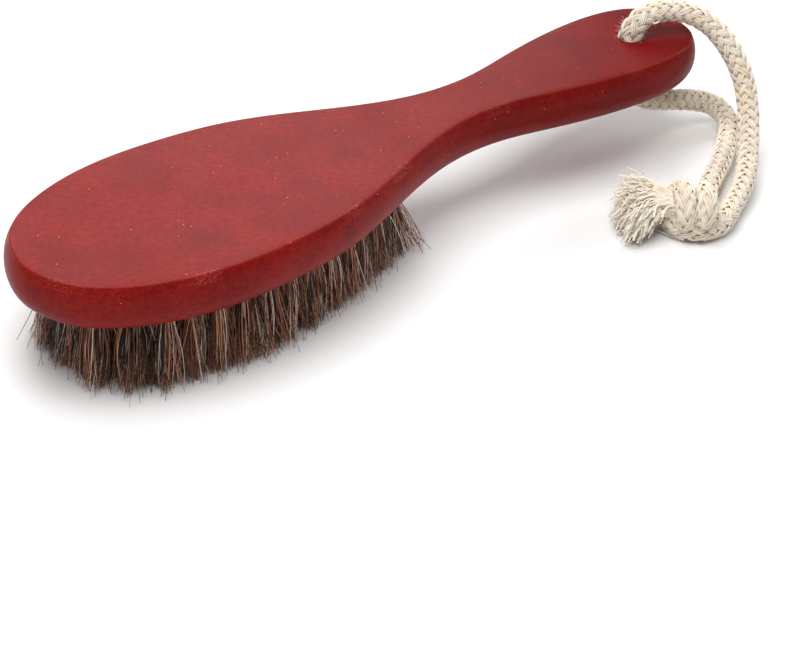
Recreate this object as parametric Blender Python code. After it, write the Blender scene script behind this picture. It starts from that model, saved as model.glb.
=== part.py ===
"""A clothes brush: a one-piece wooden paddle, rows of hair tufts in its head and a cord loop in its handle.

+X runs from the head to the handle, +Z is up, and the brush stands on the tips of its hair at Z = 0.
"""

from math import cos, radians, sin, tau

import bmesh
import bpy
import numpy as np
from mathutils import Vector

MM = 0.001

# The wooden body.
LENGTH = 205 * MM
HAIR_LENGTH = 19 * MM
WOOD_THICKNESS = 12 * MM
UNDERSIDE = HAIR_LENGTH
TOP = UNDERSIDE + WOOD_THICKNESS
OUTLINE_STEPS = 96
# Half of the plan outline, as (distance from the head's tip, half width), in millimetres.
HALF_OUTLINE = [
    (0, 0), (1.3, 6.7), (5, 13.5), (11.2, 19), (19.7, 23.3), (30.2, 26.3), (42.4, 27.6), (56.2, 27.2),
    (71.1, 25.2), (86.8, 20.3), (102.9, 14), (119, 9.7), (134.6, 9.3), (149.5, 12), (163.2, 14.5),
    (175.4, 15.8), (185.8, 15.8), (194.1, 14.4), (200.2, 11.4), (203.9, 6.5), (205, 0),
]
# The rounded side is two elliptic arcs that meet at the widest line, each as (half depth, height).
BELLY_ABOVE_UNDERSIDE = 6.2 * MM
LOWER_ARC = (4.2 * MM, BELLY_ABOVE_UNDERSIDE)
UPPER_ARC = (3.2 * MM, 6.6 * MM)
CREASE_BREAK = 0.3 * MM

# The tufts, in rows across the head.
ROWS = 14
FIRST_ROW = 14 * MM
LAST_ROW = 96.5 * MM
# Half of the field's plan at the wood, as (distance from the head's tip, half width), in millimetres.
HALF_FIELD = [
    (10.4, 0), (11.2, 6), (14, 10.8), (19.5, 15.7), (28.5, 19.4), (42, 21.2), (56, 20.6), (70, 18.2),
    (82, 15.2), (91, 12.2), (96.5, 9), (100.5, 0),
]
TUFT_PITCH = 6.8 * MM
TUFT_SIDES = 12
HOLE_RADIUS = 2.5 * MM
HOLE_DEPTH = 8 * MM
ROOT_RADIUS = 2.2 * MM
MERGE_DEPTH = 5 * MM
ROW_GAP = 0.35 * MM
FAN = (1.06, 1.07)
END_CELL_REACH = 2.9 * MM
SCALLOP = 0.82

# The cord and its hole.
CORD_RADIUS = 2.9 * MM
CORD_HOLE = (83.8 * MM, 0.0)
CORD_HOLE_RADIUS = 3.4 * MM
CORD_HOLE_BREAK = 0.5 * MM
CORD_STEP = 4.3 * MM
# The cord's centre line from the knot over the handle, down through its hole and back, in millimetres.
CORD_ROUTE = [
    (72.3, -48.9, 3.2), (77.4, -46.7, 3.5), (82.8, -44.2, 4.1), (88.4, -41.2, 5),
    (93.2, -38, 6.1), (97.4, -34.4, 7.7), (101.8, -30, 10.9), (104.9, -26.2, 15.2),
    (106.3, -22.2, 20.8), (105.8, -17.8, 26.6), (103.7, -12.7, 31.9), (99.9, -8, 35.6),
    (95.2, -4.4, 37.1), (90.6, -2, 37), (86.6, -0.6, 35.6), (84.3, -0.1, 32.9),
    (83.8, 0, 29.5), (83.8, 0, 25), (83.8, 0, 20.5), (84.2, -0.2, 17),
    (86.2, -1.2, 13.9), (90.2, -3, 11.6), (95.5, -4.7, 10.2), (101.3, -5.9, 9),
    (106.8, -7.2, 7.6), (110.8, -10, 6.2), (110.9, -15, 4.9), (107.4, -19.6, 4),
    (102.1, -23.6, 3.5), (95.2, -28.2, 3.2), (87.6, -32.6, 3.2), (80.2, -36.6, 3.4),
    (73.6, -40.1, 3.7),
]
FACE_GAP = 0.3 * MM

# The knot is an egg on the floor; each frayed end opens out of it as a flattened cone.
KNOT_CENTRE = Vector((64.6, -43.6, 6.9)) * MM
KNOT_HALF_SIZES = Vector((9.0, 7.0, 6.5)) * MM
KNOT_TURN = radians(47)
FRAYED_ENDS = {
    "frayed_end_1": {"tip": Vector((49.5, -28.5, 5.6)) * MM, "half_width": 6.6 * MM, "half_height": 4.2 * MM},
    "frayed_end_2": {"tip": Vector((48.0, -43.0, 4.0)) * MM, "half_width": 4.6 * MM, "half_height": 3.2 * MM},
}
FRAYED_START = 5 * MM
FRAYED_START_RADIUS = 2 * MM
FRAYED_RINGS = 4


def clear_scene():
    for thing in list(bpy.data.objects):
        bpy.data.objects.remove(thing, do_unlink=True)


def make_material(name, colour, roughness, metallic=0.0):
    material = bpy.data.materials.new(name)
    material.use_nodes = True
    shader = material.node_tree.nodes["Principled BSDF"]
    shader.inputs["Base Color"].default_value = (*colour, 1.0)
    shader.inputs["Roughness"].default_value = roughness
    shader.inputs["Metallic"].default_value = metallic
    return material


def make_object(name, data, material, parent=None):
    thing = bpy.data.objects.new(name, data)
    data.materials.append(material)
    bpy.context.scene.collection.objects.link(thing)
    if parent:
        thing.parent = parent
        thing.matrix_parent_inverse = parent.matrix_world.inverted()
    return thing


def finish_mesh(name, mesh_builder, smooth_angle=35):
    """Turn a bmesh into a mesh with outward faces and smooth shading up to an angle."""
    bmesh.ops.recalc_face_normals(mesh_builder, faces=mesh_builder.faces)
    mesh = bpy.data.meshes.new(name)
    mesh_builder.to_mesh(mesh)
    mesh_builder.free()
    mesh.shade_smooth()
    mesh.set_sharp_from_angle(angle=radians(smooth_angle))
    return mesh


def spline_slopes(knots, values):
    """Slopes of the natural cubic spline through values at the given knots."""
    count = len(knots)
    step = np.diff(knots)[:, None]
    rise = np.diff(values, axis=0) / step
    system = np.zeros((count, count))
    right = np.zeros_like(values)
    system[0, :2] = (2, 1)
    right[0] = 3 * rise[0]
    system[-1, -2:] = (1, 2)
    right[-1] = 3 * rise[-1]
    for row in range(1, count - 1):
        before, after = step[row - 1, 0], step[row, 0]
        system[row, row - 1 : row + 2] = (after, 2 * (before + after), before)
        right[row] = 3 * (after * rise[row - 1] + before * rise[row])
    return np.linalg.solve(system, right)


def smooth_curve(points, count):
    """Evenly spaced points on the natural cubic spline through the given points."""
    values = np.array(points, float)
    knots = np.concatenate([[0], np.cumsum(np.linalg.norm(np.diff(values, axis=0), axis=1))])
    slopes = spline_slopes(knots, values)
    fine = np.linspace(0, knots[-1], 60 * len(values))
    piece = np.clip(np.searchsorted(knots, fine, side="right") - 1, 0, len(knots) - 2)
    width = (knots[piece + 1] - knots[piece])[:, None]
    t = (fine - knots[piece])[:, None] / width
    start, end = values[piece], values[piece + 1]
    curve = (
        (2 * t**3 - 3 * t**2 + 1) * start
        + (t**3 - 2 * t**2 + t) * width * slopes[piece]
        + (3 * t**2 - 2 * t**3) * end
        + (t**3 - t**2) * width * slopes[piece + 1]
    )
    along = np.concatenate([[0], np.cumsum(np.linalg.norm(np.diff(curve, axis=0), axis=1))])
    even = np.linspace(0, along[-1], count)
    return np.stack([np.interp(even, along, axis) for axis in curve.T], axis=1)


def plan_outline(count):
    """The closed plan outline, counter-clockwise, centred on the origin along X."""
    lower = [(x, -width) for x, width in HALF_OUTLINE]
    upper = [(x, width) for x, width in reversed(HALF_OUTLINE)]
    around = lower[-4:-1] + upper[:-1] + lower[:-1] + upper[:4]
    curve = smooth_curve(around, 40 * len(around)) * MM
    seam = len(curve) // 2
    starts = np.hypot(curve[:, 0] - LENGTH, curve[:, 1])
    first, last = np.argmin(starts[:seam]), seam + np.argmin(starts[seam:])
    loop = curve[first : last + 1]
    along = np.concatenate([[0], np.cumsum(np.linalg.norm(np.diff(loop, axis=0), axis=1))])
    even = np.linspace(0, along[-1], count, endpoint=False)
    points = np.stack([np.interp(even, along, axis) for axis in loop.T], axis=1)
    return points - (LENGTH / 2, 0)


def inset_outline(outline, distance):
    """The outline moved inwards along its normals."""
    run = np.roll(outline, -1, axis=0) - np.roll(outline, 1, axis=0)
    inward = np.stack([-run[:, 1], run[:, 0]], axis=1)
    return outline + distance * inward / np.linalg.norm(inward, axis=1)[:, None]


def side_profile():
    """(inset, height) pairs from the underside round the rounded side to the top face."""
    depth, height = LOWER_ARC
    belly = UNDERSIDE + BELLY_ABOVE_UNDERSIDE
    profile = [(depth * (1 - cos(a)), belly - height * sin(a)) for a in np.radians([90, 68, 46, 24])]
    depth, height = UPPER_ARC
    rise = np.arcsin((TOP - CREASE_BREAK - belly) / height)
    profile += [(depth * (1 - cos(a)), belly + height * sin(a)) for a in np.linspace(0, rise, 5)]
    profile.append((profile[-1][0] + CREASE_BREAK, TOP))
    return profile


def add_ring(builder, points, height):
    return [builder.verts.new((x, y, height)) for x, y in points]


def bridge(builder, ring, next_ring):
    for index in range(len(ring)):
        after = (index + 1) % len(ring)
        builder.faces.new((ring[index], ring[after], next_ring[after], next_ring[index]))


def add_stack(builder, levels):
    """A closed body through a list of (plan points, height)."""
    rings = [add_ring(builder, points, height) for points, height in levels]
    for ring, next_ring in zip(rings, rings[1:]):
        bridge(builder, ring, next_ring)
    builder.faces.new(reversed(rings[0]))
    builder.faces.new(rings[-1])


def circle(centre, radius, sides):
    return [
        (centre[0] + radius * cos(tau * k / sides), centre[1] + radius * sin(tau * k / sides))
        for k in range(sides)
    ]


def tuft_rows():
    """For each row, its X and the Y of each of its tufts, evenly spaced across the field."""
    edge = smooth_curve(HALF_FIELD, 400) * MM
    rows = []
    for x in np.linspace(FIRST_ROW, LAST_ROW, ROWS):
        reach = np.interp(x, edge[:, 0], edge[:, 1]) - END_CELL_REACH
        count = round(2 * reach / TUFT_PITCH) + 1
        rows.append((float(x - LENGTH / 2), np.linspace(-reach, reach, count)))
    return rows


def subtract(thing, cutter):
    """Cut one object out of another, and keep the cutter out of the model."""
    cutter.hide_render = True
    cutter.display_type = "WIRE"
    cut = thing.modifiers.new(cutter.name, "BOOLEAN")
    cut.object = cutter
    cut.operation = "DIFFERENCE"
    cut.solver = "EXACT"


def build_wooden_body(material, rows):
    outline = plan_outline(OUTLINE_STEPS)
    builder = bmesh.new()
    add_stack(builder, [(inset_outline(outline, inset), height) for inset, height in side_profile()])
    body = make_object("wooden_body", finish_mesh("wooden_body", builder, 40), material)

    cutter = bmesh.new()
    for x, tufts in rows:
        for y in tufts:
            hole = circle((x, y), HOLE_RADIUS, TUFT_SIDES)
            add_stack(cutter, [(hole, UNDERSIDE - HOLE_RADIUS), (hole, UNDERSIDE + HOLE_DEPTH)])
    wide = circle(CORD_HOLE, CORD_HOLE_RADIUS + 2 * CORD_HOLE_BREAK, 2 * TUFT_SIDES)
    narrow = circle(CORD_HOLE, CORD_HOLE_RADIUS, 2 * TUFT_SIDES)
    levels = [
        (wide, UNDERSIDE - CORD_HOLE_BREAK),
        (narrow, UNDERSIDE + CORD_HOLE_BREAK),
        (narrow, TOP - CORD_HOLE_BREAK),
        (wide, TOP + CORD_HOLE_BREAK),
    ]
    add_stack(cutter, levels)
    subtract(body, make_object("holes_cutter", finish_mesh("holes_cutter", cutter), material))
    return body


def fan_out(x, y, height, centre):
    """Where a point of the hair field moves to, as the hair spreads towards its tips."""
    share = (UNDERSIDE - height) / HAIR_LENGTH
    spread_x, spread_y = 1 + (FAN[0] - 1) * share, 1 + (FAN[1] - 1) * share
    return (centre + (x - centre) * spread_x, y * spread_y, height)


def build_tuft_row(number, x, tufts, material):
    """One row of tufts: round roots in their holes, flared and grown together towards the tips."""
    centre = (FIRST_ROW + LAST_ROW - LENGTH) / 2
    pitch_x = (LAST_ROW - FIRST_ROW) / (ROWS - 1)
    half = (pitch_x - ROW_GAP) / 2
    middles = (tufts[1:] + tufts[:-1]) / 2
    borders = np.concatenate([[tufts[0] - END_CELL_REACH], middles, [tufts[-1] + END_CELL_REACH]])
    builder = bmesh.new()

    def level(height):
        """The points of one level: four across each border, two in front of and behind each tuft."""

        def point(u, y):
            return builder.verts.new(fan_out(x + u * half, y, height, centre))

        across = []
        for index, y in enumerate(borders):
            bulge = {0: -0.6 * MM, len(tufts): 0.6 * MM}.get(index, 0)
            across.append([point(u, y + bulge * (abs(u) < 0.5)) for u in (-SCALLOP, -0.3, 0.3, SCALLOP)])
        spans = [(a + 0.3 * (b - a), a + 0.7 * (b - a)) for a, b in zip(borders, borders[1:])]
        front = [[point(-1, y) for y in span] for span in spans]
        back = [[point(1, y) for y in span] for span in spans]
        return across, front, back

    def outer_ring(across, front, back):
        ring = list(across[0][::-1])
        for index in range(len(tufts)):
            ring += [*front[index], across[index + 1][0]]
        ring += across[-1][1:]
        for index in reversed(range(len(tufts))):
            ring += [*reversed(back[index]), across[index][3]]
        return ring[:-1]

    merged = level(UNDERSIDE - MERGE_DEPTH)
    tips = level(0.0)
    for index, y in enumerate(tufts):
        across, front, back = merged
        before, after = across[index], across[index + 1]
        cell = [before[0], *front[index], after[0], after[1], after[2], after[3]]
        cell += [*reversed(back[index]), before[3], before[2], before[1]]
        turn = [radians(225 - 30 * k) for k in range(TUFT_SIDES)]
        root = [(x + ROOT_RADIUS * cos(a), y + ROOT_RADIUS * sin(a)) for a in turn]
        mouth = add_ring(builder, root, UNDERSIDE)
        end = add_ring(builder, root, UNDERSIDE + HOLE_DEPTH - FACE_GAP)
        bridge(builder, cell, mouth)
        bridge(builder, mouth, end)
        builder.faces.new(end)
    bridge(builder, outer_ring(*merged), outer_ring(*tips))
    builder.faces.new(outer_ring(*tips))
    name = f"tuft_row_{number:02d}"
    return make_object(name, finish_mesh(name, builder), material)


def build_cord(material, pivot):
    route = np.array(CORD_ROUTE) * MM
    length = np.linalg.norm(np.diff(route, axis=0), axis=1).sum()
    points = smooth_curve(route, round(length / CORD_STEP))
    curve = bpy.data.curves.new("hanging_cord", "CURVE")
    curve.dimensions = "3D"
    curve.bevel_depth = CORD_RADIUS
    curve.bevel_resolution = 3
    curve.use_fill_caps = True
    spline = curve.splines.new("POLY")
    spline.points.add(len(points) - 1)
    for spot, (x, y, z) in zip(spline.points, points):
        spot.co = (x, y, z, 1)
    spline.use_smooth = True
    return make_object("hanging_cord", curve, material, pivot)


def knot_mesh(name, clearance=0.0):
    builder = bmesh.new()
    bmesh.ops.create_uvsphere(builder, u_segments=24, v_segments=12, radius=1)
    for vert in builder.verts:
        x, y, z = (a * (b + clearance) for a, b in zip(vert.co, KNOT_HALF_SIZES))
        turned = (x * cos(KNOT_TURN) - y * sin(KNOT_TURN), x * sin(KNOT_TURN) + y * cos(KNOT_TURN), z)
        vert.co = KNOT_CENTRE + Vector(turned)
    return finish_mesh(name, builder, 60)


def build_frayed_end(name, shape, material, pivot, knot_cutter):
    """A flattened cone that opens from the knot towards the cut tips of the fibres."""
    reach = shape["tip"] - KNOT_CENTRE
    forward = reach.normalized()
    sideways = forward.cross(Vector((0, 0, 1))).normalized()
    upright = sideways.cross(forward)
    builder = bmesh.new()
    rings = []
    for step in range(FRAYED_RINGS):
        share = step / (FRAYED_RINGS - 1)
        middle = KNOT_CENTRE + forward * (FRAYED_START + share * (reach.length - FRAYED_START))
        wide = FRAYED_START_RADIUS + share * (shape["half_width"] - FRAYED_START_RADIUS)
        high = FRAYED_START_RADIUS + share * (shape["half_height"] - FRAYED_START_RADIUS)
        ring = [middle + sideways * a * wide + upright * b * high for a, b in circle((0, 0), 1, 16)]
        rings.append([builder.verts.new(point) for point in ring])
    for ring, next_ring in zip(rings, rings[1:]):
        bridge(builder, ring, next_ring)
    builder.faces.new(rings[0])
    builder.faces.new(rings[-1])
    frayed = make_object(name, finish_mesh(name, builder), material, pivot)
    subtract(frayed, knot_cutter)
    return frayed


def main():
    clear_scene()
    lacquered_wood = make_material("lacquered_wood", (0.30, 0.045, 0.045), 0.32)
    dark_hair = make_material("dark_hair", (0.045, 0.028, 0.022), 0.6)
    cotton = make_material("cotton_braid", (0.80, 0.73, 0.62), 0.9)

    rows = tuft_rows()
    build_wooden_body(lacquered_wood, rows)
    for number, (x, tufts) in enumerate(rows, start=1):
        build_tuft_row(number, x, tufts, dark_hair)

    pivot = bpy.data.objects.new("loop_swivel", None)
    pivot.location = (*CORD_HOLE, (UNDERSIDE + TOP) / 2)
    bpy.context.scene.collection.objects.link(pivot)
    bpy.context.view_layer.update()
    build_cord(cotton, pivot)
    make_object("cord_knot", knot_mesh("cord_knot"), cotton, pivot)
    knot_cutter = make_object("knot_cutter", knot_mesh("knot_cutter", FACE_GAP), cotton, pivot)
    for name, shape in FRAYED_ENDS.items():
        build_frayed_end(name, shape, cotton, pivot, knot_cutter)
    print("tufts:", sum(len(tufts) for _, tufts in rows), "in", len(rows), "rows")


main()
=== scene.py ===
# %% [markdown]
# # A clothes brush with a cord loop
#
# The brush is a one-piece wooden paddle with tufts of dark hair set into its head. A loop of braided cotton
# cord runs through a hole in its handle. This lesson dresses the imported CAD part: the sizes come from that
# frame, and each cell below makes one piece or one finish.

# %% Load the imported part
import math

import bpy
import numpy as np
from mathutils import Matrix, Vector


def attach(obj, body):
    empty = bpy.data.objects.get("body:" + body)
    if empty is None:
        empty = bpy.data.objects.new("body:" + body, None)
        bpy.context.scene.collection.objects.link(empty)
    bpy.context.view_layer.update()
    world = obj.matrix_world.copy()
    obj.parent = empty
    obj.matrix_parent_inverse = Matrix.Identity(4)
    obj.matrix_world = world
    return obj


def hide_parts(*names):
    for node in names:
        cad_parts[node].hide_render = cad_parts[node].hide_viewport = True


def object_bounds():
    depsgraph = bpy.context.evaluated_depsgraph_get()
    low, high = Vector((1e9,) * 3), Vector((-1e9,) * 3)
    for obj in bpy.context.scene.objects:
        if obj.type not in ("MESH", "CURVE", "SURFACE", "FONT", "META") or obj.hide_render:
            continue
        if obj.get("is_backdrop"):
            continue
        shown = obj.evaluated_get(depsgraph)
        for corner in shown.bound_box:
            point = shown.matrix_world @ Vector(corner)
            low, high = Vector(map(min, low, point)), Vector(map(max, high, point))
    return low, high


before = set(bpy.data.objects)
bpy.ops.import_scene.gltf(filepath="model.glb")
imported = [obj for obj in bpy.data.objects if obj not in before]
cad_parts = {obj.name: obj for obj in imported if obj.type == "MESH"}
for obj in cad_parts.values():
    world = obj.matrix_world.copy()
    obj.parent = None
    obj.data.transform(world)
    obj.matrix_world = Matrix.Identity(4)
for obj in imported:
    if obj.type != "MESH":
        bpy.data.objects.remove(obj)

MM = 0.001
cad_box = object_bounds()
print("nodes:", sorted(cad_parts))
print("CAD box in mm:", [[round(value / MM, 1) for value in corner] for corner in cad_box])

# %% [markdown]
# ## The camera
#
# The camera looks down on the brush from beside its head. A camera could be aimed with a Track To
# constraint, but this one is also rolled by a few degrees, so its three axes are worked out and put in its
# matrix.

# %% Place the camera
VIEW_AZIMUTH = math.radians(-43)
VIEW_ELEVATION = math.radians(36.2)
VIEW_ROLL = math.radians(4.64)
VIEW_DISTANCE = 402.4 * MM
VIEW_TARGET = Vector((-48.9, -62.4, 31)) * MM
LENS_MM = 87.41


def place_camera():
    back = Vector((
        math.sin(VIEW_AZIMUTH) * math.cos(VIEW_ELEVATION),
        -math.cos(VIEW_AZIMUTH) * math.cos(VIEW_ELEVATION),
        math.sin(VIEW_ELEVATION),
    ))
    level = (-back).cross(Vector((0, 0, 1))).normalized()
    upright = level.cross(-back)
    right = math.cos(VIEW_ROLL) * level + math.sin(VIEW_ROLL) * upright
    up = math.cos(VIEW_ROLL) * upright - math.sin(VIEW_ROLL) * level
    data = bpy.data.cameras.new("camera")
    data.lens = LENS_MM
    data.clip_start = 0.01
    camera = bpy.data.objects.new("camera", data)
    bpy.context.scene.collection.objects.link(camera)
    camera.matrix_world = Matrix.Translation(VIEW_TARGET + VIEW_DISTANCE * back) @ Matrix(
        (right, up, back)
    ).transposed().to_4x4()
    bpy.context.scene.camera = camera


place_camera()
print("camera stands", round(VIEW_DISTANCE, 3), "m from its target")

# %% [markdown]
# ## Curves and thin tubes
#
# Cord, yarn, fibre and hair are all thin tubes along a line. A curve object with a bevel would do for one
# of them, but there are thousands, so one function makes the rings of many tubes at once with numpy.
# `smooth_curve` puts even points on a natural cubic spline, which has no kinks between its points.

# %% A smooth curve through chosen points
def smooth_curve(points, count):
    """Evenly spaced points on the natural cubic spline through the given points."""
    values = np.array(points, float)
    knots = np.concatenate([[0], np.cumsum(np.linalg.norm(np.diff(values, axis=0), axis=1))])
    step = np.diff(knots)[:, None]
    rise = np.diff(values, axis=0) / step
    system = np.zeros((len(knots), len(knots)))
    right = np.zeros_like(values)
    system[0, :2] = (2, 1)
    right[0] = 3 * rise[0]
    system[-1, -2:] = (1, 2)
    right[-1] = 3 * rise[-1]
    for row in range(1, len(knots) - 1):
        before, after = step[row - 1, 0], step[row, 0]
        system[row, row - 1 : row + 2] = (after, 2 * (before + after), before)
        right[row] = 3 * (after * rise[row - 1] + before * rise[row])
    slopes = np.linalg.solve(system, right)
    fine = np.linspace(0, knots[-1], 60 * len(values))
    piece = np.clip(np.searchsorted(knots, fine, side="right") - 1, 0, len(knots) - 2)
    width = (knots[piece + 1] - knots[piece])[:, None]
    t = (fine - knots[piece])[:, None] / width
    curve = (2 * t**3 - 3 * t**2 + 1) * values[piece] + (3 * t**2 - 2 * t**3) * values[piece + 1]
    curve += ((t**3 - 2 * t**2 + t) * slopes[piece] + (t**3 - t**2) * slopes[piece + 1]) * width
    return even_points(curve, count)


def run_length(points):
    """How far along the line each of its points is."""
    return np.concatenate([[0], np.cumsum(np.linalg.norm(np.diff(points, axis=0), axis=1))])


def even_points(points, count):
    along = run_length(points)
    even = np.linspace(0, along[-1], count)
    return np.stack([np.interp(even, along, axis) for axis in points.T], axis=1)


# %% Tubes along many lines at once
# A direction that no cord, yarn or hair follows for long, for the rings of tubes without a better one.
ANY_DIRECTION = np.array((0.31, 0.52, 0.79))


def unit(vectors):
    return vectors / np.maximum(np.linalg.norm(vectors, axis=-1, keepdims=True), 1e-12)


def tubes(lines, radii, sides, outward):
    """Points and quads of round tubes. lines is (tubes, steps, 3), radii is (tubes, steps)."""
    forward = unit(np.gradient(lines, axis=1))
    sideways = unit(np.cross(forward, outward))
    upright = np.cross(sideways, forward)
    turn = np.arange(sides) * math.tau / sides
    ring = np.cos(turn)[:, None] * sideways[:, :, None, :] + np.sin(turn)[:, None] * upright[:, :, None, :]
    points = lines[:, :, None, :] + radii[:, :, None, None] * ring
    index = np.arange(points.size // 3).reshape(points.shape[:3])
    first, after = index[:, :-1], index[:, 1:]
    quads = np.stack([first, np.roll(first, -1, axis=2), np.roll(after, -1, axis=2), after], axis=-1)
    return points.reshape(-1, 3), quads.reshape(-1, 4)


# %% A mesh object from points and faces
def mesh_piece(name, points, faces, material, attributes=None):
    """A smooth mesh object. attributes gives one number per point for the material to read."""
    mesh = bpy.data.meshes.new(name)
    mesh.from_pydata(points.tolist(), [], faces.tolist())
    for attribute, values in (attributes or {}).items():
        mesh.attributes.new(attribute, "FLOAT", "POINT").data.foreach_set("value", np.ravel(values))
    mesh.shade_smooth()
    mesh.materials.append(material)
    piece = bpy.data.objects.new(name, mesh)
    bpy.context.scene.collection.objects.link(piece)
    return piece


# %% [markdown]
# ## Shader maths in Python
#
# A material's maths reads best as an expression. `Wire` wraps one output socket, and arithmetic on it adds
# Math nodes. `Finish` holds one material, and its `node` method adds any other node: the settings are set
# first, because some of them change which sockets the node has.

# %% Wires and finishes
class Wire:
    """One output socket of a finish. Arithmetic on it adds a Math node."""

    def __init__(self, finish, socket):
        self.finish = finish
        self.socket = socket

    def math(self, operation, *values):
        return self.finish.node("Math", {"operation": operation}, dict(enumerate(values)))

    def __add__(self, other):
        return self.math("ADD", self, other)

    def __sub__(self, other):
        return self.math("SUBTRACT", self, other)

    def __rsub__(self, other):
        return self.math("SUBTRACT", other, self)

    def __mul__(self, other):
        return self.math("MULTIPLY", self, other)

    __radd__ = __add__
    __rmul__ = __mul__

    def step(self, low, high):
        """0 below low, 1 above high and a soft ramp between."""
        settings = {"interpolation_type": "SMOOTHSTEP"}
        sockets = {"Value": self, "From Min": low, "From Max": high}
        return self.finish.node("MapRange", settings, sockets)

    def mix(self, first, second):
        """Colour first where this wire is 0, and second where it is 1."""
        return self.finish.node("Mix", {"data_type": "RGBA"}, {0: self, 6: first, 7: second}, output=2)


class Finish:
    """A material made from a Principled shader and the nodes that feed it."""

    def __init__(self, name):
        self.material = bpy.data.materials.new(name)
        self.material.use_nodes = True
        self.tree = self.material.node_tree
        self.shader = self.tree.nodes["Principled BSDF"]

    def node(self, kind, settings=None, sockets=None, output=0):
        made = self.tree.nodes.new("ShaderNode" + kind)
        for setting, value in (settings or {}).items():
            setattr(made, setting, value)
        self.fill(made, sockets or {})
        return Wire(self, made.outputs[output])

    def fill(self, made, sockets):
        for socket, value in sockets.items():
            if isinstance(value, Wire):
                self.tree.links.new(value.socket, made.inputs[socket])
            else:
                made.inputs[socket].default_value = value

    def attribute(self, name):
        return self.node("Attribute", {"attribute_name": name}, output="Fac")

    def place(self, stretch=(1, 1, 1)):
        """Positions on the piece in metres, stretched for a directional pattern."""
        where = self.node("TexCoord", output="Object")
        return self.node("Mapping", None, {"Vector": where, "Scale": stretch})

    def noise(self, size, detail=2.0, stretch=(1, 1, 1)):
        """Soft random patches about size across."""
        sockets = {"Vector": self.place(stretch), "Scale": 1 / size, "Detail": detail}
        return self.node("TexNoise", None, sockets)

    def bump(self, height, distance, strength=1.0):
        return self.node("Bump", None, {"Height": height, "Distance": distance, "Strength": strength})


def colour(red, green, blue):
    """A linear colour from the usual 0 to 255 values."""
    shares = [value / 255 for value in (red, green, blue)]
    linear = [share / 12.92 if share <= 0.04045 else ((share + 0.055) / 1.055) ** 2.4 for share in shares]
    return (*linear, 1.0)


# %% [markdown]
# ## The cotton finish
#
# Undyed cotton is warm cream. Painted shade makes it browner where the yarns dive under each other and on the
# core between them. Each yarn carries its own tint, and a fine noise bump stands for its spun fibres. Sheen
# gives the soft edge of loose fibres, which no amount of roughness alone would do.

# %% Cotton yarn
def cotton_finish():
    finish = Finish("cotton_yarn")
    tint = finish.attribute("tint")
    painted_shade = finish.attribute("painted_shade")
    patches = finish.noise(6 * MM, 3)
    pale = tint.mix(colour(246, 236, 218), colour(255, 250, 239))
    warm = patches.step(0.5, 0.75).mix(pale, colour(252, 236, 206))
    # Painted shade: browner where a yarn dives under its neighbours, at its sides and on the core below.
    shaded = (painted_shade * 0.7).mix(warm, colour(204, 164, 110))
    fibres = finish.noise(0.16 * MM, 2)
    finish.fill(finish.shader, {
        "Base Color": shaded,
        "Roughness": 0.92,
        "Sheen Weight": 0.35,
        "Sheen Roughness": 0.6,
        "Specular IOR Level": 0.15,
        "Normal": finish.bump(fibres, 0.08 * MM, 0.6),
    })
    return finish.material


cotton = cotton_finish()
print("finish:", cotton.name)

# %% [markdown]
# ## The cord's route
#
# The cord is one length of round braid, pushed down through the hole in the handle. Both ends are tied
# together in one overhand knot. The route repeats the CAD cord's points, then two lists carry each end
# through the knot: one wraps it from below and behind, the other from above, and both leave through its
# middle. A rope simulation could tie a knot, but it would be slow and would not keep the same shape.

# %% Route of both strands
CORD_RADIUS = 2.9 * MM
CORD_STEP = 0.5 * MM
MIDDLE_OF_HOLE = 17
CORD_ROUTE = [
    (72.3, -48.9, 3.2), (77.4, -46.7, 3.5), (82.8, -44.2, 4.1), (88.4, -41.2, 5),
    (93.2, -38, 6.1), (97.4, -34.4, 7.7), (101.8, -30, 10.9), (104.9, -26.2, 15.2),
    (106.3, -22.2, 20.8), (105.8, -17.8, 26.6), (103.7, -12.7, 31.9), (99.9, -8, 35.6),
    (95.2, -4.4, 37.1), (90.6, -2, 37), (86.6, -0.6, 35.6), (84.3, -0.1, 32.9),
    (83.8, 0, 29.5), (83.8, 0, 25), (83.8, 0, 20.5), (84.2, -0.2, 17),
    (86.2, -1.2, 13.9), (90.2, -3, 11.6), (95.5, -4.7, 10.2), (101.3, -5.9, 9),
    (106.8, -7.2, 7.6), (110.8, -10, 6.2), (110.9, -15, 4.9), (107.4, -19.6, 4),
    (102.1, -23.6, 3.5), (95.2, -28.2, 3.2), (87.6, -32.6, 3.2), (80.2, -36.6, 3.4),
    (73.6, -40.1, 3.7),
]
# Inside the knot a point is (towards the loop, across, up) from the knot's centre, in millimetres. The whole
# knot is then stretched a little, to the loose size that it has when it is only pulled tight by hand.
KNOT_CENTRE = np.array((64.8, -43.8, 7.3)) * MM
KNOT_STRETCH = 1.1
KNOT_AXES = np.array([(0.731, -0.682, 0), (0.682, 0.731, 0), (0, 0, 1)])
UPPER_IN_KNOT = [
    (6, -0.9, -4), (2.2, -2.9, -3.6), (-1.8, -2.2, -3.7), (-4.2, 0.7, -3.7), (-4.4, 3.5, -2),
    (-3.2, 4.2, 0.9), (-2.2, 2.7, 3.4), (-1.7, -0.4, 4.4), (-1.5, -3, 3), (-1, -4, 0.7),
    (-0.9, -3.3, -1.5), (-1.8, -1.1, -2), (-3.7, -0.5, -0.5), (-6, -0.6, 0.7),
]
LOWER_IN_KNOT = [
    (3.4, 6.7, -0.7), (3.2, 4.6, 1.9), (3.1, 1.5, 3.7), (3.3, -1.8, 3.7), (3.4, -3.6, 1.9),
    (2.9, -3.5, -0.4), (1.6, -1.5, -1.7), (-1, 1.2, -1.1), (-3.6, 1.8, 0.1), (-6.2, 1.9, 1.3),
]


def from_knot(points):
    return KNOT_CENTRE + KNOT_STRETCH * np.array(points, float) @ KNOT_AXES * MM


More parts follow.
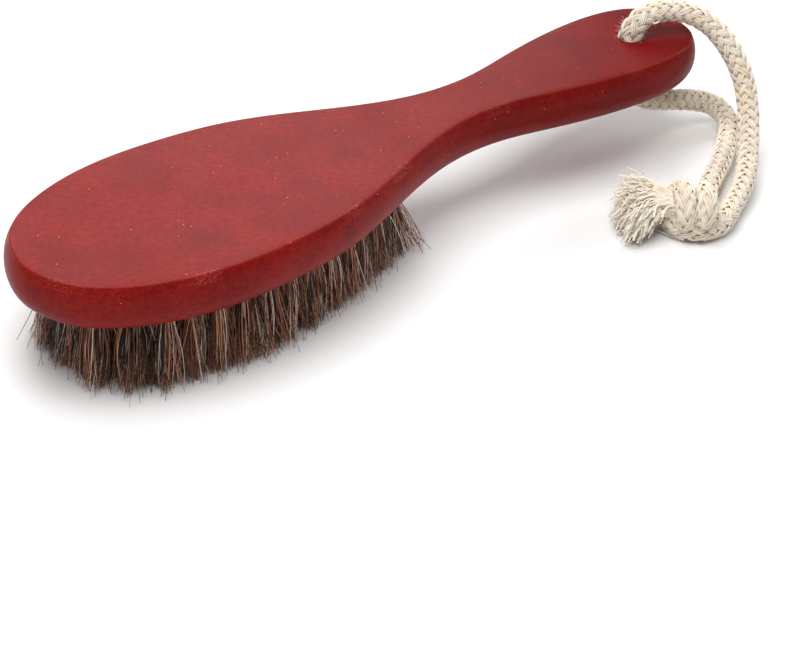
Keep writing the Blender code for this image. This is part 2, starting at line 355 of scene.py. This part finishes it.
def strand_path(route, in_knot):
    """Even points from the middle of the handle's hole to the start of the frayed end."""
    points = np.concatenate([np.array(route) * MM, from_knot(in_knot)])
    length = run_length(points)[-1]
    return smooth_curve(points, round(length / CORD_STEP))


upper_path = strand_path(CORD_ROUTE[MIDDLE_OF_HOLE::-1], UPPER_IN_KNOT)
lower_path = strand_path(CORD_ROUTE[MIDDLE_OF_HOLE:], LOWER_IN_KNOT)
for label, path in (("upper", upper_path), ("lower", lower_path)):
    print(label, "strand:", round(run_length(path)[-1] / MM), "mm,", len(path), "points")

# %% [markdown]
# ## The braid
#
# The cord is a tubular braid: eight carriers wind one way and eight the other, each with four parallel
# yarns, and each passes over two and under two. That gives columns of V shapes. A texture could imply this,
# but real yarns catch the light and show at the edges, so every yarn is a tube of its own. One cosine decides
# which is on top: it is high for one way where it is low for the other.

# %% Frames that follow a path without twisting
def moving_frames(path):
    forward = unit(np.gradient(path, axis=0))
    sideways = np.empty_like(path)
    start = np.cross(forward[0], (0.3, 1, 0.2))
    sideways[0] = start / np.linalg.norm(start)
    for step in range(1, len(path)):
        kept = sideways[step - 1] - forward[step] * np.dot(sideways[step - 1], forward[step])
        sideways[step] = kept / np.linalg.norm(kept)
    return sideways, np.cross(forward, sideways)


# %% Yarns of the braid
CARRIERS_EACH_WAY = 8
YARNS_PER_CARRIER = 4
LAY_LENGTH = 24 * MM
YARN_RADIUS = 0.23 * MM
BRAID_MIDDLE = 2.36 * MM
BRAID_RISE = 0.27 * MM
CORE_RADIUS = 1.95 * MM
# How far a yarn wanders, how much of their room a carrier's yarns fill, how much the middle ones stand up,
# and how long a carrier stays on top before it dives.
YARN_DRIFT = 0.022
CARRIER_FILL = 0.93
CARRIER_ARCH = 0.16 * MM
FLAT_TOP = 1.8
# Shade at a yarn's four corners: where it touches its neighbour, outside, the other neighbour, inside.
YARN_SHADE = (0.4, 0.0, 0.4, 0.8)


def braid_lines(path, tightness, chance):
    """Lines of all yarns, with their outward directions, how deep they dive and a tint for each."""
    sideways, upright = moving_frames(path)
    along = run_length(path)
    lines, outwards, depths, tints = [], [], [], []
    swell = 1 + 0.03 * np.sin(along / (7 * MM) + chance.uniform(0, 6)) * np.sin(along / (17 * MM))
    for way in (1, -1):
        for carrier in range(CARRIERS_EACH_WAY):
            angle = way * math.tau * along / LAY_LENGTH + math.tau * carrier / CARRIERS_EACH_WAY
            crossing = angle * CARRIERS_EACH_WAY / math.pi
            wave = np.cos(math.pi / 2 * (crossing - 0.5)) * way
            height = np.tanh(FLAT_TOP * wave) / math.tanh(FLAT_TOP)
            looseness = chance.uniform(-0.06, 0.1) * MM
            for yarn in range(YARNS_PER_CARRIER):
                place = (yarn - (YARNS_PER_CARRIER - 1) / 2) / YARNS_PER_CARRIER
                drift = YARN_DRIFT * np.sin(along / (chance.uniform(2, 5) * MM) + chance.uniform(0, 6))
                turn = angle + place * CARRIER_FILL * math.tau / CARRIERS_EACH_WAY + drift
                arch = CARRIER_ARCH * (1 - (2 * place) ** 2) * (height > 0)
                reach = BRAID_MIDDLE + BRAID_RISE * height + arch * np.abs(height) + looseness
                reach = reach * tightness * swell
                outward = np.cos(turn)[:, None] * sideways + np.sin(turn)[:, None] * upright
                lines.append(path + reach[:, None] * outward)
                outwards.append(outward)
                depths.append(0.5 - 0.5 * height)
                tints.append(chance.uniform(0, 1))
    return np.array(lines), np.array(outwards), np.array(depths), np.array(tints)


# %% Loose fibres that stand off the braid
FUZZ_STEPS = 5


def stray_fibres(path, spots, lengths, chance):
    """Short, thin fibres that curl off the cord's surface at the given steps of its path."""
    sideways, upright = moving_frames(path)
    count = len(spots)
    turn = chance.uniform(0, math.tau, count)
    outward = np.cos(turn)[:, None] * sideways[spots] + np.sin(turn)[:, None] * upright[spots]
    lean = unit(outward * chance.uniform(0.2, 0.8, (count, 1)) + chance.normal(0, 0.7, (count, 3)))
    length = chance.uniform(*lengths, (count, 1)) * MM
    share = np.linspace(0, 1, FUZZ_STEPS)[None, :, None]
    curl = unit(chance.normal(0, 1, (count, 3)))[:, None, :] * length[:, None, :] * 0.4
    start = (path[spots] + outward * (CORD_RADIUS - 0.25 * MM))[:, None, :]
    lines = start + lean[:, None, :] * length[:, None, :] * share + curl * share**2
    lines[:, :, 2] = np.maximum(lines[:, :, 2], 0.05 * MM)
    radii = np.full((count, FUZZ_STEPS), 0.024 * MM) * np.linspace(1, 0.4, FUZZ_STEPS)
    return tubes(lines, radii, 3, ANY_DIRECTION)


def pulled_loop(path, spot, away):
    """One yarn pulled out of the braid into a small loop."""
    forward = unit(path[spot + 1] - path[spot - 1])
    turn = np.radians(np.linspace(-15, 195, 14))[:, None]
    reach = unit(np.array(away, float))
    line = path[spot] + reach * 2.5 * MM + (np.cos(turn) * forward * 1.2 + np.sin(turn) * reach * 1.1) * MM
    return tubes(line[None], np.full((1, 14), 0.24 * MM), 5, ANY_DIRECTION)


# %% Build one strand of the cord
def join_shells(shells):
    """One list of points, faces and attributes from several."""
    points, faces, tints, depths, start = [], [], [], [], 0
    for shell_points, shell_faces, tint, depth in shells:
        points.append(shell_points)
        faces.append(shell_faces + start)
        tints.append(tint)
        depths.append(depth)
        start += len(shell_points)
    return np.concatenate(points), np.concatenate(faces), {
        "tint": np.concatenate(tints),
        "painted_shade": np.concatenate(depths),
    }


# Along a strand: where it leaves the hole, how much it swells there, and how tightly the knot squeezes it.
MOUTH_AT = 6 * MM
MOUTH_REACH = 4 * MM
MOUTH_SWELLING = 0.12
KNOT_FROM = 0.73
KNOT_RAMP = 12
SQUEEZE_IN_KNOT = 0.9
FUZZ_PER_STEP = 4
FUZZ_LENGTHS = (0.5, 1.4)
MOUTH_FUZZ_PER_STEP = 30
MOUTH_FUZZ_LENGTHS = (1, 2.4)


def build_strand(name, path, chance, loops=()):
    along = run_length(path)
    in_knot = np.clip((along / along[-1] - KNOT_FROM) * KNOT_RAMP, 0, 1)
    at_mouth = np.exp(-(((along - MOUTH_AT) / MOUTH_REACH) ** 2))
    tightness = 1 - (1 - SQUEEZE_IN_KNOT) * in_knot + MOUTH_SWELLING * at_mouth
    lines, outwards, depths, tints = braid_lines(path, tightness, chance)
    radii = np.full(lines.shape[:2], YARN_RADIUS)
    yarns = tubes(lines, radii, 4, outwards)
    shade = depths[:, :, None] * 0.6 + np.array(YARN_SHADE)
    sideways, upright = moving_frames(path)
    core = tubes(path[None], CORE_RADIUS * tightness[None], 12, sideways[None])
    mouth = np.searchsorted(along, MOUTH_AT)
    everywhere = np.repeat(np.arange(mouth, len(path) - 2), FUZZ_PER_STEP)
    at_the_hole = np.repeat(np.arange(mouth, mouth + 6), MOUTH_FUZZ_PER_STEP)
    shells = [
        (*yarns, np.repeat(tints, lines.shape[1] * 4), np.clip(shade.ravel(), 0, 1)),
        # The core under the yarns carries full painted shade, for the dark gaps seen between them.
        (*core, np.full(len(core[0]), 0.2), np.ones(len(core[0]))),
    ]
    loose = [stray_fibres(path, everywhere, FUZZ_LENGTHS, chance)]
    loose.append(stray_fibres(path, at_the_hole, MOUTH_FUZZ_LENGTHS, chance))
    loose += [pulled_loop(path, *loop) for loop in loops]
    for points, faces in loose:
        shells.append((points, faces, np.ones(len(points)), np.zeros(len(points))))
    points, faces, attributes = join_shells(shells)
    piece = mesh_piece(name, points, faces, cotton, attributes)
    print(name, "has", len(tints), "yarns and", 2 * len(faces), "triangles")
    return piece


# The step of the path where a yarn was pulled out, and the way that its loop points.
LOOP_ON_UPPER = (31, (-0.68, -0.73, -0.5))
upper_strand = build_strand("upper_strand", upper_path, np.random.default_rng(11), [LOOP_ON_UPPER])
lower_strand = build_strand("lower_strand", lower_path, np.random.default_rng(12))

# %% [markdown]
# ## The frayed ends
#
# Past the knot the braid has come undone. Its yarns open like a brush, and most have split into fine wavy
# fibres. A particle system could scatter hair here, but plain tubes stay where they are put and export
# with the mesh. Each end is a fan: a fibre starts in the cord's round end and bends towards its own tip.

# %% Fans of yarn and fibre
FIBRE_STEPS = 14


def fan_lines(path, lean, opening, lengths, count, wave, chance):
    """Wavy lines that open from the end of a path and lean towards a direction."""
    sideways, upright = moving_frames(path)
    forward = unit(path[-1] - path[-4])
    turn = chance.uniform(0, math.tau, (count, 1))
    reach = np.sqrt(chance.uniform(0, 1, (count, 1)))
    across = reach * (np.cos(turn) * sideways[-1] + np.sin(turn) * upright[-1])
    start = path[-1] - forward * chance.uniform(0, 3, (count, 1)) * MM + across * 2.3 * MM
    heading = unit(lean + across * opening + chance.normal(0, 0.13, (count, 3)))
    length = chance.uniform(*lengths, (count, 1)) * MM
    share = np.linspace(0, 1, FIBRE_STEPS)[None, :, None]
    early = (forward * (1 - share) + heading[:, None, :] * share) * share
    waves = chance.uniform(7, 20, (count, 1, 1))
    ripple = np.sin(share * waves + chance.uniform(0, 6, (count, 1, 1))) * share
    swerve = unit(chance.normal(0, 1, (count, 3)))[:, None, :]
    lines = start[:, None, :] + early * length[:, None, :] + swerve * ripple * wave * MM
    lines[:, :, 2] = np.maximum(lines[:, :, 2], chance.uniform(0.1, 0.8, (count, 1)) * MM)
    return lines


# Groups of line in a fan: how many, their radius, sides, least and most length, waviness and painted shade at
# the root, deep in the tuft. All fade to the same light shade at their tips, partly painted shade and partly
# a warmer tint of the cream.
FAN_GROUPS = (
    (190, 0.38 * MM, 6, (5, 13), 0.7, 0.3),
    (340, 0.22 * MM, 5, (6, 14), 0.9, 0.25),
    (160, 0.07 * MM, 3, (8, 15.5), 1.3, 0.15),
)
LOOSE_YARN = [
    (-6, -0.6, -0.8), (-9.3, 0.4, -4.2), (-9.2, 1.4, -6.1), (-6, -0.6, -6.5), (-3, -2.4, -6.5),
    (-0.7, -3.8, -6.3),
]
LOOSE_STEPS = 40
TIP_SHADE = 0.08


def loose_bundle(chance):
    """A few long yarns that fall out of the fan and lie on the floor beside the knot."""
    route = smooth_curve(from_knot(LOOSE_YARN), LOOSE_STEPS)
    shift = chance.normal(0, 0.35, (7, 1, 3)) * MM * np.linspace(0.3, 1.6, LOOSE_STEPS)[None, :, None]
    lines = route[None] + shift
    lines[:, :, 2] = np.maximum(lines[:, :, 2], 0.2 * MM)
    return tubes(lines, np.full(lines.shape[:2], 0.16 * MM), 4, ANY_DIRECTION)


def build_frayed_end(name, path, lean, opening, chance, extra=()):
    lean = np.array(lean, float) @ KNOT_AXES
    shells = []
    for count, radius, sides, lengths, wave, inner in FAN_GROUPS:
        lines = fan_lines(path, lean, opening, lengths, count, wave, chance)
        radii = np.repeat(radius * np.linspace(1.1, 0.7, FIBRE_STEPS)[None], count, axis=0)
        corners = FIBRE_STEPS * sides
        tints = np.repeat(chance.uniform(0.1, 0.8, count), corners)
        shade = np.tile(np.repeat(np.linspace(inner, TIP_SHADE, FIBRE_STEPS), sides), count)
        shells.append((*tubes(lines, radii, sides, ANY_DIRECTION), tints, shade))
    for points, faces in extra:
        shells.append((points, faces, np.full(len(points), 0.6), np.full(len(points), 0.1)))
    points, faces, attributes = join_shells(shells)
    print(name, "has", 2 * len(faces), "triangles")
    return mesh_piece(name, points, faces, cotton, attributes)


chance = np.random.default_rng(21)
bundle = loose_bundle(chance)
upper_fray = build_frayed_end("frayed_upper_end", upper_path, (-0.95, -0.22, -0.5), 0.48, chance, [bundle])
lower_fray = build_frayed_end("frayed_lower_end", lower_path, (-1, 0.1, -0.3), 0.48, chance)

HOLE_TOP = (83.8 * MM, 0, 31 * MM)
HOLE_BOTTOM = (83.8 * MM, 0, 19 * MM)
for strand, path, fray, leaves_at, end in (
    (upper_strand, upper_path, upper_fray, HOLE_TOP, "frayed_end_2"),
    (lower_strand, lower_path, lower_fray, HOLE_BOTTOM, "frayed_end_1"),
):
    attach(strand, "cord_loop")
    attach(fray, "cord_loop")
    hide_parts("hanging_cord", "cord_knot")
    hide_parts(end)
    print(strand.name, "is a cord of", round(run_length(path)[-1] / MM), "mm")

# %% [markdown]
# ## The lacquered wood
#
# The body is close-grained hardwood, stained mahogany red and lacquered to a satin gloss. The grain shows
# only as faint streaks along the brush, with cloudy patches from the stain, tiny pale specks of dust and
# lighter wear on the crease. A thin painted highlight runs along the crease, and painted shade darkens the
# body towards the handle's end. Each is a noise or a measure that mixes in one colour; a painted picture
# could do it too, but the body would first have to be unwrapped. A clear coat gives the second, sharper
# reflection.

# %% Wood finish
def wood_finish():
    finish = Finish("red_lacquered_wood")
    crease = finish.attribute("crease")
    clouds = finish.noise(12 * MM, 3)
    mottle = finish.noise(1.0 * MM, 3, (0.6, 1, 1))
    dust = finish.noise(0.5 * MM, 2)
    grain = finish.noise(0.5 * MM, 3, (0.18, 1, 1))
    red = clouds.step(0.3, 0.7).mix(colour(125, 16, 14), colour(141, 23, 17))
    mottled = (mottle.step(0.4, 0.64) * 0.45).mix(red, colour(96, 10, 14))
    dusty = (dust.step(0.5, 0.72) * 0.35).mix(mottled, colour(156, 48, 40))
    streaked = (grain.step(0.55, 0.75) * 0.3).mix(dusty, colour(160, 44, 32))
    grid = {"Vector": finish.place(), "Scale": 1 / (2.8 * MM)}
    cells = finish.node("TexVoronoi", None, grid, output="Distance")
    lone = finish.noise(9 * MM, 0).step(0.46, 0.56)
    specks = (1 - cells.step(0.03, 0.07)) * lone
    speckled = (specks * 0.8).mix(streaked, colour(214, 160, 148))
    rubbed = finish.noise(0.35 * MM, 3).step(0.5, 0.6)
    worn_places = finish.noise(16 * MM, 1).step(0.52, 0.7)
    # A thin painted highlight along the crease's rounding, where the lacquer catches the light.
    crease_highlight = (crease.step(0.75, 1) * 0.12).mix(speckled, colour(190, 84, 72))
    worn = (crease * rubbed * worn_places * 0.45).mix(crease_highlight, colour(196, 110, 98))
    smudge = finish.noise(20 * MM, 4)
    dark = (smudge.step(0.52, 0.72) * 0.4).mix(worn, colour(84, 8, 12))
    # Painted shade: the body darkens towards the handle's end, as if less light reached it.
    towards_end = finish.node("SeparateXYZ", None, {"Vector": finish.place()}, output="X")
    handle_shade = (towards_end.step(-20 * MM, 60 * MM) * 0.35).mix(dark, colour(84, 8, 10))
    finish.fill(finish.shader, {
        "Base Color": handle_shade,
        "Roughness": smudge * 0.14 + 0.36,
        "Specular IOR Level": 0.06,
        "Coat Weight": smudge.step(0.2, 0.6) * 0.06 + 0.04,
        "Coat Roughness": 0.2,
        "Normal": finish.bump(clouds * 0.5 + mottle * 0.06, 0.25 * MM, 0.5),
    })
    return finish.material


wood = wood_finish()
print("finish:", wood.name)

# %% [markdown]
# ## The wooden body
#
# The body is cut flat from board, then its side is rounded to a belly and its top edge left as a soft crease.
# Here the plan outline is a spline, and each step of the side profile insets it a little, so the body is a
# stack of rings. This is the CAD outline with four times the steps, so its edge stays smooth up close.

# %% Plan outline and side profile
LENGTH = 205 * MM
UNDERSIDE = 19 * MM
TOP = 31 * MM
BELLY = 25.2 * MM
LOWER_ARC = (4.2 * MM, 6.2 * MM)
UPPER_ARC = (3.2 * MM, 6.6 * MM)
CREASE_RADIUS = 0.45 * MM
HALF_OUTLINE = [
    (0, 0), (1.3, 6.7), (5, 13.5), (11.2, 19), (19.7, 23.3), (30.2, 26.3), (42.4, 27.6), (56.2, 27.2),
    (71.1, 25.2), (86.8, 20.3), (102.9, 14), (119, 9.7), (134.6, 9.3), (149.5, 12), (163.2, 14.5),
    (175.4, 15.8), (185.8, 15.8), (194.1, 14.4), (200.2, 11.4), (203.9, 6.5), (205, 0),
]


def plan_outline(count):
    """The closed plan outline, counter-clockwise, centred on the origin along X."""
    lower = [(x, -width) for x, width in HALF_OUTLINE]
    upper = [(x, width) for x, width in reversed(HALF_OUTLINE)]
    around = lower[-4:-1] + upper[:-1] + lower[:-1] + upper[:4]
    curve = smooth_curve(around, 80 * len(around)) * MM
    seam = len(curve) // 2
    starts = np.hypot(curve[:, 0] - LENGTH, curve[:, 1])
    first, last = np.argmin(starts[:seam]), seam + np.argmin(starts[seam:])
    return even_points(curve[first : last + 1], count + 1)[:-1] - (LENGTH / 2, 0)


def inset_outline(outline, distance):
    run = np.roll(outline, -1, axis=0) - np.roll(outline, 1, axis=0)
    inward = np.stack([-run[:, 1], run[:, 0]], axis=1)
    return outline + distance * unit(inward)


def side_profile():
    """(inset, height, crease) from the underside round the belly and over the crease."""
    depth, height = LOWER_ARC
    profile = [
        (depth * (1 - math.cos(a)), BELLY - height * math.sin(a), 0.0)
        for a in np.radians(np.linspace(90, 8, 11))
    ]
    depth, height = UPPER_ARC
    rise = math.asin((TOP - CREASE_RADIUS - BELLY) / height)
    profile += [
        (depth * (1 - math.cos(a)), BELLY + height * math.sin(a), 0.7 * (a > 0.7 * rise))
        for a in np.linspace(0, rise, 11)
    ]
    inset = profile[-1][0]
    for a in np.radians([25, 45, 65, 90]):
        over = (inset + CREASE_RADIUS * (1 - math.cos(a)), TOP - CREASE_RADIUS * (1 - math.sin(a)), 1.0)
        profile.append(over)
    profile.append((inset + 4 * CREASE_RADIUS, TOP, 0.0))
    return profile


# %% A closed body through a stack of rings
def ring_stack(rings):
    """Points and faces of the body through (plan points, height) rings, with flat ends."""
    count = len(rings[0][0])
    points = np.concatenate([np.column_stack([plan, np.full(count, height)]) for plan, height in rings])
    index = np.arange(len(points)).reshape(len(rings), count)
    first, after = index[:-1], index[1:]
    quads = np.stack([first, np.roll(first, -1, axis=1), np.roll(after, -1, axis=1), after], axis=-1)
    return points, quads.reshape(-1, 4).tolist() + [index[0][::-1].tolist(), index[-1].tolist()]


def circle(centre, radius, sides, ragged=0.0, chance=None):
    turn = np.arange(sides) * math.tau / sides
    reach = radius + (ragged * chance.uniform(0, 1, sides) if ragged else 0)
    return np.stack([centre[0] + reach * np.cos(turn), centre[1] + reach * np.sin(turn)], axis=1)


def cutter_object(name, stacks):
    """One hidden mesh from several closed bodies, for a Boolean to cut away."""
    points, faces, start = [], [], 0
    for body_points, body_faces in stacks:
        points += body_points.tolist()
        faces += [[start + corner for corner in face] for face in body_faces]
        start += len(body_points)
    mesh = bpy.data.meshes.new(name)
    mesh.from_pydata(points, [], faces)
    cutter = bpy.data.objects.new(name, mesh)
    bpy.context.scene.collection.objects.link(cutter)
    return cutter


# %% Where each tuft sits, read from the CAD rows
ROW_NAMES = sorted(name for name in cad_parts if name.startswith("tuft_row_"))


def tuft_centres(node):
    """The centre of each tuft's root, from the flat ends of the roots deep in the wood."""
    spots = np.array([vertex.co[:] for vertex in node.data.vertices])
    roots = spots[spots[:, 2] > spots[:, 2].max() - 0.1 * MM]
    roots = roots[np.argsort(roots[:, 1])]
    gaps = np.flatnonzero(np.diff(roots[:, 1]) > 1.6 * MM) + 1
    return [tuple(group[:, :2].mean(axis=0)) for group in np.split(roots, gaps)]


tufts_in_row = {name: tuft_centres(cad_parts[name]) for name in ROW_NAMES}
print("tufts:", sum(len(tufts) for tufts in tufts_in_row.values()), "in", len(tufts_in_row), "rows")

# %% The holes, as bodies to cut away
TUFT_HOLE_RADIUS = 2.5 * MM
TUFT_HOLE_DEPTH = 8 * MM
TUFT_HOLE_SIDES = 20
CORD_HOLE_RADIUS = 3.4 * MM
CORD_HOLE_BREAK = 0.5 * MM
CORD_HOLE_SIDES = 48
CORD_HOLE_WEAR = 0.3 * MM


def hole_stacks():
    """A closed body for each tuft's blind hole and one for the cord's hole, whose top edge is worn uneven."""
    stacks = []
    for tufts in tufts_in_row.values():
        for centre in tufts:
            hole = circle(centre, TUFT_HOLE_RADIUS, TUFT_HOLE_SIDES)
            stacks.append(ring_stack([(hole, UNDERSIDE - 2 * MM), (hole, UNDERSIDE + TUFT_HOLE_DEPTH)]))
    centre = HOLE_TOP[:2]
    chance = np.random.default_rng(5)
    wide = circle(centre, CORD_HOLE_RADIUS + CORD_HOLE_BREAK, CORD_HOLE_SIDES, CORD_HOLE_WEAR, chance)
    below = circle(centre, CORD_HOLE_RADIUS + 2 * CORD_HOLE_BREAK, CORD_HOLE_SIDES)
    narrow = circle(centre, CORD_HOLE_RADIUS, CORD_HOLE_SIDES)
    stacks.append(ring_stack([
        (below, UNDERSIDE - CORD_HOLE_BREAK),
        (narrow, UNDERSIDE + CORD_HOLE_BREAK),
        (narrow, TOP - CORD_HOLE_BREAK),
        (wide, TOP + CORD_HOLE_BREAK),
    ]))
    return stacks


hole_cutter = cutter_object("hole_cutter", hole_stacks())
print("hole_cutter has", len(hole_cutter.data.polygons), "faces")

# %% Build the body and cut its holes
OUTLINE_STEPS = 384
SHARP_FROM = math.radians(32)


def build_wooden_body(cutter):
    outline = plan_outline(OUTLINE_STEPS)
    profile = side_profile()
    points, faces = ring_stack([(inset_outline(outline, inset), height) for inset, height, _ in profile])
    mesh = bpy.data.meshes.new("lacquered_body")
    mesh.from_pydata(points.tolist(), [], faces)
    crease = np.repeat([worn for _, _, worn in profile], OUTLINE_STEPS)
    mesh.attributes.new("crease", "FLOAT", "POINT").data.foreach_set("value", crease)
    mesh.materials.append(wood)
    body = bpy.data.objects.new("lacquered_body", mesh)
    bpy.context.scene.collection.objects.link(body)
    cut = body.modifiers.new("holes", "BOOLEAN")
    cut.object = cutter
    cut.operation = "DIFFERENCE"
    cut.solver = "EXACT"
    graph = bpy.context.evaluated_depsgraph_get()
    body.data = bpy.data.meshes.new_from_object(body.evaluated_get(graph))
    body.modifiers.clear()
    bpy.data.objects.remove(cutter, do_unlink=True)
    body.data.shade_smooth()
    body.data.set_sharp_from_angle(angle=SHARP_FROM)
    return body


body = build_wooden_body(hole_cutter)
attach(body, "brush")
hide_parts("wooden_body")
print("lacquered_body has", len(body.data.polygons), "faces")

# %% [markdown]
# ## The hair finish
#
# The tufts are natural horsehair: near black, brown and tan, with a few pale grey hairs mixed in. Every hair
# carries a random tone, and stepped colours turn that into the mixture. Hair is glossy along its length, so
# its roughness is moderate, and it needs no bump at this thickness.

# %% Horsehair finish
def hair_finish():
    finish = Finish("horsehair")
    tone = finish.attribute("tone")
    share = finish.attribute("along")
    brown = tone.step(0.35, 0.5).mix(colour(36, 20, 16), colour(166, 92, 64))
    tan = tone.step(0.68, 0.74).mix(brown, colour(232, 172, 132))
    grey = tone.step(0.89, 0.9).mix(tan, colour(255, 244, 230))
    # Painted light: hairs turn a little lighter towards their tips, which stand out of the shade under the
    # wood.
    lit = (share.step(0.4, 1) * 0.2).mix(grey, colour(150, 116, 92))
    finish.fill(finish.shader, {
        "Base Color": lit,
        "Roughness": 0.45,
        "Specular IOR Level": 0.4,
    })
    return finish.material


hair = hair_finish()
print("finish:", hair.name)

# %% [markdown]
# ## The hair
#
# Each tuft is a bundle of hair, folded in two in its hole and trimmed level after it is set. Hair objects
# give more strands, but they don't export, so each hair is a three-sided tapering tube. Hairs gather in small
# locks whose tips lean together, and tufts at the edge of the field splay outwards.

# %% Grow one row of tufts
HAIRS_PER_TUFT = 320
LOCKS_PER_TUFT = 22
HAIR_STEPS = 6
HAIR_RADIUS = 0.112 * MM
ROOT_SPREAD = 2.2 * MM
ROOT_DEPTH = 1.5 * MM
# Half the square that a tuft's tips fill, and half the width of one lock.
CELL_HALF = 3.5 * MM
LOCK_HALF = 1.2 * MM
# How far tips lean out at the field's edge, and further towards the neck; then the hairs that stray, how much
# every hair bows, and how unevenly they were trimmed.
EDGE_SPLAY = np.array((1.3, 1.6)) * MM
NECK_FROM = 0.7
NECK_SPLAY = 9 * MM
STRAY_SHARE = 0.3
STRAY_REACH = 3.6 * MM
BOW = 0.95 * MM
UNEVEN_TIPS = 0.55 * MM
all_tufts = np.array([centre for tufts in tufts_in_row.values() for centre in tufts])
field_centre = (all_tufts.min(axis=0) + all_tufts.max(axis=0)) / 2
field_half = (all_tufts.max(axis=0) - all_tufts.min(axis=0)) / 2


def scatter(count, half, chance):
    return chance.uniform(-half, half, (count, 2))


def tuft_lines(centre, chance):
    """The lines of one tuft's hairs, from inside its hole down to the trimmed tips."""
    outness = (np.array(centre) - field_centre) / field_half
    splay = outness * EDGE_SPLAY
    at_neck = max(outness[0] - NECK_FROM, 0) / (1 - NECK_FROM)
    lock_tips = scatter(LOCKS_PER_TUFT, CELL_HALF, chance)
    lock = chance.integers(0, LOCKS_PER_TUFT, HAIRS_PER_TUFT)
    spread = lock_tips[lock] + scatter(HAIRS_PER_TUFT, LOCK_HALF, chance)
    wide = np.maximum(np.linalg.norm(spread, axis=1, keepdims=True) / ROOT_SPREAD, 1)
    roots = spread / wide * 0.85 + scatter(HAIRS_PER_TUFT, 0.4 * MM, chance)
    tips = spread + splay * chance.uniform(0.6, 1.4, (HAIRS_PER_TUFT, 1))
    tips[:, 0] += at_neck * chance.uniform(0, 1, HAIRS_PER_TUFT) ** 3 * NECK_SPLAY
    stray = chance.uniform(0, 1, HAIRS_PER_TUFT) < STRAY_SHARE
    tips[stray] += scatter(stray.sum(), STRAY_REACH, chance)
    ends = chance.gamma(1.5, UNEVEN_TIPS, HAIRS_PER_TUFT)
    share = np.linspace(0, 1, HAIR_STEPS)
    bend = share[None, :, None] ** 1.3
    bow = chance.normal(0, BOW, (HAIRS_PER_TUFT, 1, 2)) * np.sin(math.pi * share)[None, :, None]
    flat = np.array(centre) + roots[:, None, :] * (1 - bend) + tips[:, None, :] * bend + bow
    top = UNDERSIDE + ROOT_DEPTH
    height = top + (ends[:, None] - top) * share[None, :]
    return np.concatenate([flat, height[:, :, None]], axis=2)


def build_hair_row(number, name):
    chance = np.random.default_rng(100 + number)
    lines = np.concatenate([tuft_lines(centre, chance) for centre in tufts_in_row[name]])
    thickness = HAIR_RADIUS * chance.uniform(0.7, 1.25, (len(lines), 1))
    radii = thickness * np.linspace(1, 0.55, HAIR_STEPS)
    points, faces = tubes(lines, radii, 3, np.array((0.31, 0.95, 0.05)))
    tone = np.repeat(chance.uniform(0, 1, len(lines)), HAIR_STEPS * 3)
    along = np.repeat(np.tile(np.linspace(0, 1, HAIR_STEPS), len(lines)), 3)
    row = mesh_piece(f"hair_row_{number:02d}", points, faces, hair, {"tone": tone, "along": along})
    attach(row, "brush")
    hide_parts(name)
    return len(lines)


hairs = sum(build_hair_row(number, name) for number, name in enumerate(ROW_NAMES, start=1))
print("hairs:", hairs)

# %% [markdown]
# ## Floor and light
#
# The brush stands on a plain pale floor under soft studio light. A large key panel hangs over the head, one
# behind puts a broad sheen on the flat top, a third rims the handle's end, and a pale world fills the
# shadows. Large panels give soft shadows, where a sun or a point light would cut hard ones.

# %% Pale floor
FLOOR_HALF = 3.0


def build_floor():
    finish = Finish("pale_floor")
    speckle = finish.noise(30 * MM, 3)
    finish.fill(finish.shader, {
        "Base Color": speckle.mix(colour(240, 240, 240), colour(246, 246, 246)),
        "Roughness": 0.85,
    })
    around = [(-1, -1, 0), (1, -1, 0), (1, 1, 0), (-1, 1, 0)]
    corners = FLOOR_HALF * np.array(around, float)
    floor = mesh_piece("floor", corners, np.array([[0, 1, 2, 3]]), finish.material)
    floor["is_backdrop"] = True


build_floor()
print("floor:", 2 * FLOOR_HALF, "m square")

# %% Soft light
def add_panel(name, azimuth, elevation, distance, size, power):
    """A square light panel that faces the brush, given by where it stands round it."""
    turn = math.radians(azimuth)
    rise = math.radians(elevation)
    away = Vector((math.sin(turn) * math.cos(rise), -math.cos(turn) * math.cos(rise), math.sin(rise)))
    data = bpy.data.lights.new(name, "AREA")
    data.energy = power
    data.size = size
    panel = bpy.data.objects.new(name, data)
    bpy.context.scene.collection.objects.link(panel)
    panel.location = away * distance
    panel.rotation_mode = "QUATERNION"
    panel.rotation_quaternion = away.to_track_quat("Z", "Y")


def light_the_scene():
    world = bpy.data.worlds.new("studio")
    world.use_nodes = True
    background = world.node_tree.nodes["Background"]
    background.inputs["Color"].default_value = (1, 1, 1, 1)
    background.inputs["Strength"].default_value = 0.22
    bpy.context.scene.world = world
    add_panel("key_panel", -80, 76, 0.7, 0.5, 5.2)
    add_panel("back_panel", 148, 38, 1.0, 0.6, 4.0)
    add_panel("end_panel", 75, 22, 0.8, 0.35, 1.0)
    bpy.context.scene.view_settings.view_transform = "Standard"


light_the_scene()

# %% Sizes
boxes = [[list(corner) for corner in box] for box in (cad_box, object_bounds())]
print("visual box in mm:", [[round(value / MM, 1) for value in corner] for corner in boxes[1]])
